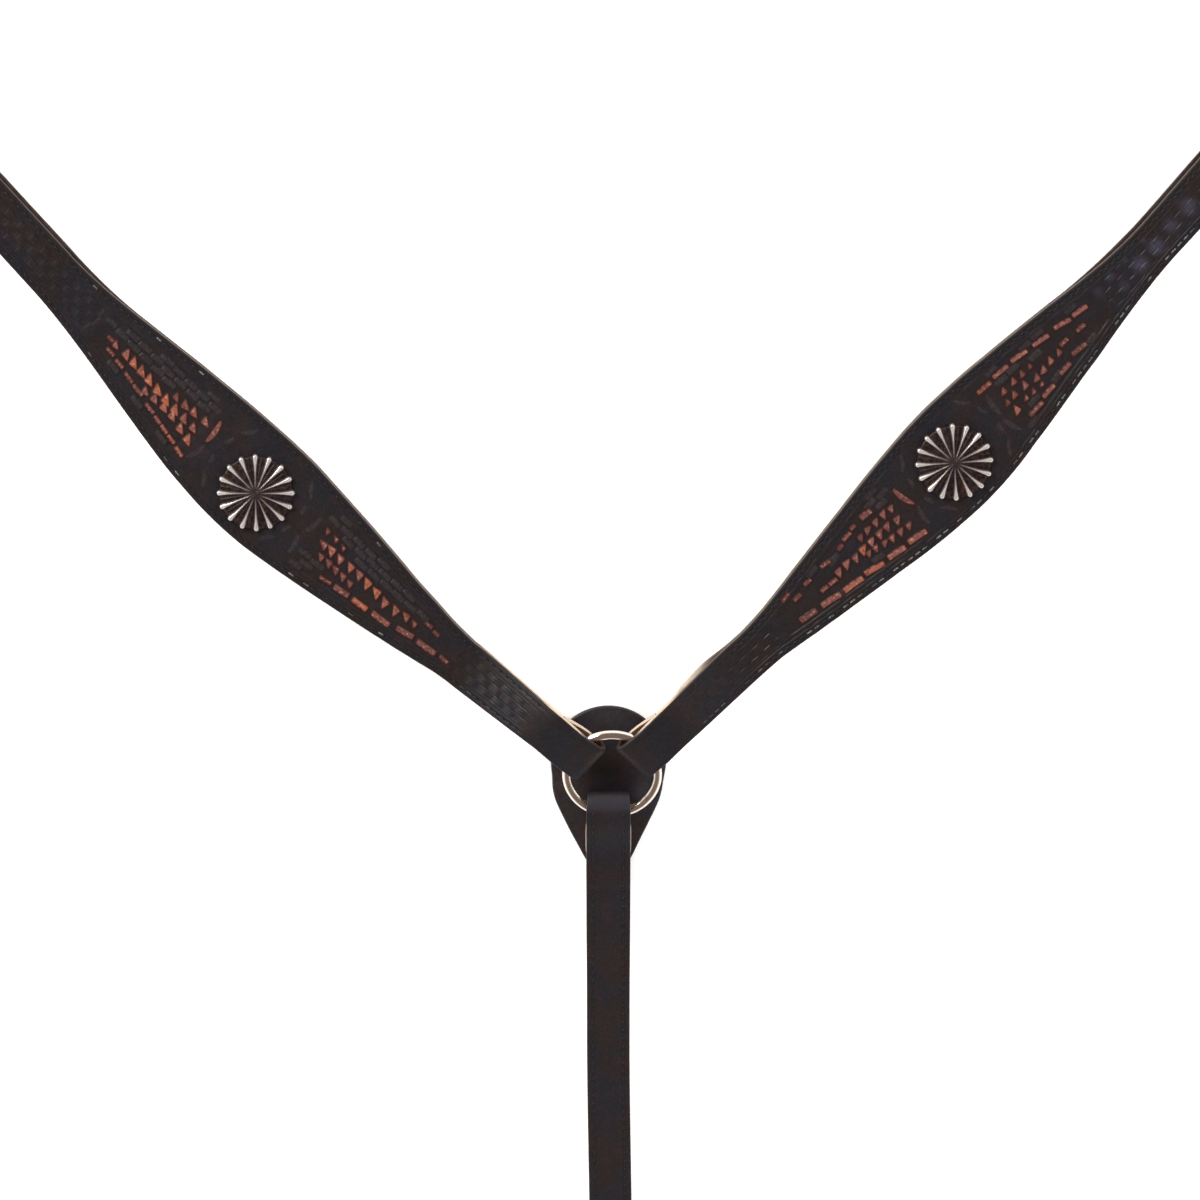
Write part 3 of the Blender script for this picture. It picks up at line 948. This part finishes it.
LZ = 10.748
fl = [(72.6, 6.0), (70, 6.25), (52, 6.3), (38, 6.3), (30, 6.3)]
gr = [(72.9, 4.2), (70.5, 3.45), (52, 3.32), (38, 3.3), (30, 3.3)]
th = np.radians(np.linspace(-90, -270, 44))
fl += [(20.45 + 4.45 * math.cos(t), LZ + 4.45 * math.sin(t)) for t in th]
gr += [(20.45 + 7.65 * math.cos(t), LZ + 7.65 * math.sin(t)) for t in th]
fl += [(25, 15.2), (30.5, 15.2), (38, 11.9), (45, 8.3), (52, 6.9), (60, 6.45), (68, 6.2), (76, 3.05), (84, 3.0), (402, 3.0)]
gr += [(25, 18.4), (31, 18.3), (39, 15.1), (47, 12.0), (54, 10.3), (61, 9.55), (67.5, 9.3), (75.5, 6.25), (84, 6.2), (402, 6.2)]
P, t = tie_stations(fl, gr, lambda t: 24.6 + 2.0 * smooth01(t, 17, 22) * (1 - smooth01(t, 39, 44)) + 1.35 * smooth01(t, 63, 77) * (1 - 0.45 * smooth01(t, 130, 200)) * (1 - smooth01(t, 330, 380)), 1.1)
mask = np.ones(len(P), bool)
cy = -P[:, :, 1].mean(1)
mask[cy < 24] = False
mask[:3] = False
mask[cy > 100] = False
P = relax(P, mask, 14)
mid = P.mean(1)
su = np.concatenate([[0], np.cumsum(np.linalg.norm(np.diff(mid, axis=0), axis=1))])
top_row = int(np.argmax((P.mean(1)[:, 2] > LZ) & (cy < 21)))
su = su - su[top_row]


def tie_relief(U, X, H):
    inset = H - np.abs(X)
    h = -0.34 * np.exp(-((np.abs(X) - 8.9) / 0.6) ** 2) * smooth01(U, 6, 10)
    h = h - 0.16 * np.clip(np.abs(X) / H, 0, 1) ** 6
    h = h - 0.30 * np.exp(-((inset - 1.9) / 0.32) ** 2) * smooth01(U, 3, 6)
    return {"h": h}


tie = skin("tie_down_skin", P, su, 36, M_TIE, r=1.0, relief=tie_relief, ek=lambda U, x: smooth01(-U, 21, 25) + 0 * x)
drift(tie)
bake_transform(tie)
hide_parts("tie_down_fold", "tie_down_face")
st = np.arange(14, su[-1] - 45, 5.08)
pts, ds, ups = [], [], []
for sg in (-1, 1):
    x = np.full(len(st), sg * 8.9)
    p, d, u = surface_point(P, su, st, x, np.full(len(st), -0.12))
    pts.append(p); ds.append(d); ups.append(u)
tst = capsules("tie_down_stitches", np.concatenate(pts), np.concatenate(ds), np.concatenate(ups), 3.6, 0.5, M_THREAD)
drift(tst)
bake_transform(tst)
# lining of the strap, from where the tail ends
fl2 = [(73.4, 2.9), (76, 0.3), (80, 0.02), (84, 0.02), (359, 0.02)]
gr2 = [(74.2, 4.6), (77, 3.1), (81, 2.98), (84, 2.98), (359, 2.98)]
P2, t2 = tie_stations(fl2, gr2, 24.8, 2.0)
P2 = relax(P2, (-P2[:, :, 1].mean(1) < 95) & (np.arange(len(P2)) > 1), 3)
tl = skin("tie_down_lining_skin", P2, t2 + 70, 10, M_LINING, r=0.5, rb=0.4, k=3)
drift(tl)
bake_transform(tl)
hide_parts("tie_down_lining")

# ---------------------------------------------------------------- chapes, tugs, keepers
END_U = 555.0


def end_tf(i):
    """End frame of a side piece, or of the tie-down for i = 2, as origin and x, y directions."""
    if i == 2:
        return np.array([0, -400.0, 0]), np.array([0, -1.0, 0]), np.array([1.0, 0, 0])
    a = R(AZ[i]) + float(line_a(i, END_U))
    o = flat(i, END_U, float(line_y(i, END_U)), 0.0)
    return o, np.array([math.cos(a), math.sin(a), 0]), np.array([-math.sin(a), math.cos(a), 0])


def frame_stations(tf, fl, gr, w, step, x0=0.0):
    o, dx, dy = tf
    f, g, t = resample(fl, gr, step)
    w0 = w(f, g, t) if callable(w) else np.full(len(t), w)
    at = lambda a, b, c: o + (a + x0)[:, None] * dx + b[:, None] * dy + c[:, None] * np.array([0, 0, 1.0])
    P = np.stack([at(f[:, 0], -w0 / 2, f[:, 1]), at(f[:, 0], w0 / 2, f[:, 1]),
                  at(g[:, 0], w0 / 2, g[:, 1]), at(g[:, 0], -w0 / 2, g[:, 1])], 1)
    return P, t


def unmirror(o, i):
    if i != 0:
        return
    co = np.zeros(len(o.data.vertices) * 3, np.float32)
    o.data.vertices.foreach_get("co", co)
    co = co.reshape(-1, 3)
    co[:, 0] *= -1
    o.data.vertices.foreach_set("co", co.ravel())
    o.data.flip_normals()
    o.data.update()


def edge_relief(U, X, H):
    inset = H - np.abs(X)
    h = -0.30 * np.exp(-((inset - 2.6) / 0.5) ** 2) - 0.14 * np.clip(np.abs(X) / H, 0, 1) ** 6
    return {"h": h}


def chape(i, name, body, node, x_end=-40.0, top_low=6.45):
    tf = end_tf(i)
    fl = [(x_end, 2.72), (-20, 2.72), (3, 2.72), (6, 3.05)]
    gr = [(x_end, 0.05), (-20, 0.05), (3, 0.05), (6, 0.12)]
    th = np.radians(np.linspace(-90, 90, 30))
    fl += [(8 + 2.2 * math.cos(t), 5.4 + 2.2 * math.sin(t)) for t in th]
    gr += [(8 + 5.25 * math.cos(t), 5.4 + 5.25 * math.sin(t)) for t in th]
    fl += [(5.5, 7.55), (1, 6.9), (-5, top_low + 0.1), (-20, top_low), (x_end + 1.5, top_low)]
    gr += [(5.5, 10.5), (1, 10.1), (-5, top_low + 3.1), (-20, top_low + 2.95), (x_end, top_low + 2.85)]

    def width(f, g, t):
        x = g[:, 0]
        taper = 1 - smooth01(x, x_end + 9, x_end) * 0.62
        return 24.0 * np.sqrt(np.clip(taper, 0.1, 1))
    P, t = frame_stations(tf, fl, gr, width, 0.9)
    o = skin(name, P, t, 26, M_PLAIN, r=0.9, relief=edge_relief)
    # the section runs against the strap here, so turn it the right way out
    st = np.arange(t[-1] - 36, t[-1] - 9, 4.6)
    W, T = sizes(P)
    pts, ds, ups = [], [], []
    for sg in (-1, 1):
        x = sg * (np.interp(st, t, W / 2) - 2.6)
        p, d, u = surface_point(P, t, st, x, np.full(len(st), -0.1))
        pts.append(p); ds.append(d); ups.append(u)
    c = capsules(name.replace("_skin", "_stitches"), np.concatenate(pts), np.concatenate(ds), np.concatenate(ups), 3.3, 0.45, M_THREAD)
    for ob in (o, c):
        unmirror(ob, i)
        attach(ob, body)
    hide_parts(node)


def cut_holes(o, centres, r, z0, z1):
    """Punches round holes through o, all at once."""
    ms, n = [], 24
    verts, faces = [], []
    for c in centres:
        b = len(verts)
        for z in (z0, z1):
            verts += [(c[0] * MM + r * MM * math.cos(2 * math.pi * k / n), c[1] * MM + r * MM * math.sin(2 * math.pi * k / n), z * MM) for k in range(n)]
        faces += [[b + k, b + (k + 1) % n, b + n + (k + 1) % n, b + n + k] for k in range(n)]
        faces += [[b + k for k in range(n)][::-1], [b + n + k for k in range(n)]]
    me = bpy.data.meshes.new("cutter")
    me.from_pydata(verts, [], faces)
    cut = bpy.data.objects.new("cutter", me)
    bpy.context.scene.collection.objects.link(cut)
    md = o.modifiers.new("holes", "BOOLEAN")
    md.operation, md.solver, md.object = "DIFFERENCE", "EXACT", cut
    bpy.context.view_layer.update()
    dg = bpy.context.evaluated_depsgraph_get()
    new = bpy.data.meshes.new_from_object(o.evaluated_get(dg))
    o.modifiers.clear()
    o.data = new
    bpy.data.objects.remove(cut)


def tug(i):
    s = SIDE[i]
    tf = end_tf(i)
    body = f"{s}_tug"
    X0 = 16.0
    # strap: short tail on top, round the dee, then along the table
    fl = [(26.6, 3.35), (25.0, 4.1), (22.5, 6.0), (19, 7.6), (15, 7.75)]
    gr = [(27.3, 5.2), (26.2, 6.6), (23.4, 8.6), (20, 10.1), (15, 10.45)]
    th = np.radians(np.linspace(90, 270, 34))
    fl += [(10.9 + 2.35 * math.cos(t), 5.4 + 2.35 * math.sin(t)) for t in th]
    gr += [(10.9 + 5.05 * math.cos(t), 5.4 + 5.05 * math.sin(t)) for t in th]
    fl += [(14, 3.05), (20, 3.0), (60, 2.98), (280, 2.98), (299.6, 2.98)]
    gr += [(14, 0.35), (20, 0.12), (60, 0.03), (280, 0.03), (299.9, 0.03)]

    def width(f, g, t):
        x = (f[:, 0] + g[:, 0]) / 2
        d = np.clip((x - 290.5) / 9.5, 0, 1)
        return 19.0 * np.where((x > 290.5) & (t > 60), np.sqrt(np.clip(1 - d**2, 0.004, 1)), 1.0)
    P, t = frame_stations(tf, fl, gr, width, 1.0, X0)
    o = skin(f"{s}_tug_skin", P, t, 16, M_TUG, r=0.8, relief=lambda U, X, H: {"h": -0.10 * np.clip(np.abs(X) / np.maximum(H, 1), 0, 1) ** 6 - 0.25 * np.exp(-(((H - np.abs(X)) - 1.9) / 0.35) ** 2) * (H > 8)})
    og, dx, dy = tf
    holes = [og + dx * (X0 + 260 - 25.4 * k) for k in range(5)]
    cut_holes(o, holes, 2.0, -2, 8)
    unmirror(o, i)
    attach(o, body)
    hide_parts(f"{s}_tug_strap")
    # buckle chape: bottom ply, round the heel bar, top ply
    hx, hz = 66.0, 8.5
    fl = [(29, 5.35), (40, 5.5), (50, 6.0), (58, 6.6), (63, 6.9)]
    gr = [(29, 3.12), (40, 3.2), (50, 3.7), (58, 4.1), (63, 4.45)]
    th = np.radians(np.linspace(-90, 90, 26))
    fl += [(hx + 1.7 * math.cos(t), hz + 1.7 * math.sin(t)) for t in th]
    gr += [(hx + 4.0 * math.cos(t), hz + 4.0 * math.sin(t)) for t in th]
    fl += [(62, 9.6), (56, 7.2), (50, 6.1), (40, 5.65), (31, 5.45)]
    gr += [(62, 11.6), (56, 9.6), (50, 8.45), (40, 8.1), (29.4, 7.7)]
    P, t = frame_stations(tf, fl, gr, 17.8, 0.8, X0)
    o = skin(f"{s}_buckle_chape_skin", P, t, 20, M_PLAIN, r=0.7, relief=edge_relief)
    unmirror(o, i)
    # slot for the tongue
    c = mirror(og + dx * (X0 + 67.5), i)
    cut_slot(o, c, mirror(dx, i), mirror(dy, i), 6.4, 4.8, 2, 16)
    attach(o, body)
    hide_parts(f"{s}_buckle_chape")
    # keeper: a band round the strap
    m = 64
    a = np.linspace(0, 2 * math.pi, m, endpoint=False)
    def loop(hy, z0, z1, r):
        cy, cz, ry, rz = 0, (z0 + z1) / 2, hy, (z1 - z0) / 2
        e = 4.2
        c, sn = np.cos(a), np.sin(a)
        return np.stack([cy + ry * np.sign(c) * np.abs(c) ** (2 / e), cz + rz * np.sign(sn) * np.abs(sn) ** (2 / e)], -1)
    outer, inner = loop(11.45, 3.1, 14.3, 2), loop(10.0, 4.3, 12.9, 2)
    prof = [(-4.4, 0.30), (-4.4, 0.75), (-4.1, 1.0), (-3.0, 1.0), (-2.6, 0.93), (-2.2, 1.0), (2.2, 1.0), (2.6, 0.93), (3.0, 1.0), (4.1, 1.0), (4.4, 0.75), (4.4, 0.30), (4.2, 0.0), (-4.2, 0.0)]
    rings = []
    for (px, f) in prof:
        yz = inner + (outer - inner) * f
        rings.append(og + dx * (X0 + 54.5 + px) + yz[:, :1] * dy + yz[:, 1:] * np.array([0, 0, 1.0]))
    V = np.stack(rings)
    rp = V.reshape(-1, 3)
    k = make(f"{s}_keeper_skin", rp, tube(len(prof), m, True), M_PLAIN, {"rp": rp, "depth": np.zeros(len(rp))}, sharp=60)
    unmirror(k, i)
    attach(k, body)
    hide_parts(f"{s}_keeper")


def cut_slot(o, c, dx, dy, lx, ly, z0, z1):
    v = []
    for z in (z0, z1):
        for a, b in ((-1, -1), (1, -1), (1, 1), (-1, 1)):
            p = c + dx * a * lx / 2 + dy * b * ly / 2
            v.append((p[0] * MM, p[1] * MM, z * MM))
    f = [[0, 3, 2, 1], [4, 5, 6, 7], [0, 1, 5, 4], [1, 2, 6, 5], [2, 3, 7, 6], [3, 0, 4, 7]]
    me = bpy.data.meshes.new("cutter")
    me.from_pydata(v, [], f)
    cut = bpy.data.objects.new("cutter", me)
    bpy.context.scene.collection.objects.link(cut)
    md = o.modifiers.new("slot", "BOOLEAN")
    md.operation, md.solver, md.object = "DIFFERENCE", "EXACT", cut
    bpy.context.view_layer.update()
    new = bpy.data.meshes.new_from_object(o.evaluated_get(bpy.context.evaluated_depsgraph_get()))
    o.modifiers.clear()
    o.data = new
    bpy.data.objects.remove(cut)


for i in (0, 1):
    chape(i, f"{SIDE[i]}_chape_skin", f"{SIDE[i]}_side", f"{SIDE[i]}_dee_chape")
    tug(i)
chape(2, "snap_chape_skin", "tie_down", "snap_chape", top_low=6.3)

# ---------------------------------------------------------------- metal CAD parts
for n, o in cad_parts.items():
    if o.hide_render:
        continue
    o.data.materials.clear()
    o.data.materials.append(M_NICKEL_B)

# ---------------------------------------------------------------- stage, light, camera
bpy.ops.mesh.primitive_plane_add(size=14, location=(0, 0, -0.0006))
floor = bpy.context.object
floor.name = "floor"
k = Mat("floor_pale")
fo = k.obj()
floor.data.materials.append(k.set(color=k.mix(k.noise(fo, 0.002, 3, 0.5), (0.90, 0.90, 0.895), (0.93, 0.93, 0.925)), rough=0.85, spec=0.1))
k.b.inputs["Emission Color"].default_value = (1, 1, 1, 1)
k.b.inputs["Emission Strength"].default_value = 0.38

world = bpy.data.worlds.new("studio")
bpy.context.scene.world = world
world.use_nodes = True
wt = world.node_tree
bg = next(n for n in wt.nodes if n.type == "BACKGROUND")
tc = wt.nodes.new("ShaderNodeTexCoord")
sx = wt.nodes.new("ShaderNodeSeparateXYZ")
wt.links.new(tc.outputs["Generated"], sx.inputs[0])
cr = wt.nodes.new("ShaderNodeValToRGB")
wt.links.new(sx.outputs["Z"], cr.inputs["Fac"])
el = cr.color_ramp.elements
el[0].position, el[0].color = 0.0, (1.20, 1.19, 1.18, 1)
el[1].position, el[1].color = 1.0, (0.20, 0.150, 0.128, 1)
for p, c in ((0.14, (1.30, 1.29, 1.28, 1)), (0.24, (1.15, 1.10, 1.05, 1)), (0.36, (0.42, 0.32, 0.27, 1)), (0.62, (0.19, 0.140, 0.118, 1))):
    e = el.new(p)
    e.color = c
wt.links.new(cr.outputs["Color"], bg.inputs["Color"])
bg.inputs["Strength"].default_value = 1.0


def area(name, loc, target, size, power, color=(1, 1, 1), glossy=True):
    d = bpy.data.lights.new(name, "AREA")
    d.shape, d.size, d.energy, d.color = "DISK", size, power, color
    o = bpy.data.objects.new(name, d)
    o.visible_glossy = glossy
    bpy.context.scene.collection.objects.link(o)
    v = np.array(target) - np.array(loc)
    from mathutils import Vector
    o.location = loc
    o.rotation_euler = Vector(v).to_track_quat("-Z", "Y").to_euler()
    return o


area("key", (-2.4, 2.2, 1.7), (0, 0.1, 0), 2.2, 140, (1.0, 0.99, 0.97))
area("fill", (2.9, 1.2, 1.7), (0, 0.1, 0), 2.6, 95, (0.98, 0.985, 1.0), False)
area("low", (-0.2, -3.2, 1.6), (0, 0.1, 0), 2.6, 60, (0.99, 0.99, 1.0), False)

cam = bpy.data.cameras.new("cam")
co = bpy.data.objects.new("cam", cam)
bpy.context.scene.collection.objects.link(co)
D = 2.3
aim = np.array([-0.0070, 0.0998, 0.0])
fw = np.array([0, math.sin(R(-12)), -math.cos(R(-12))])
co.location = aim - fw * D
co.rotation_euler = (R(-12), 0, 0)
cam.sensor_width = 36
cam.lens = 36 * D / 0.696
cam.clip_start, cam.clip_end = 0.05, 60
bpy.context.scene.camera = co
bpy.context.scene.view_settings.view_transform = "Standard"
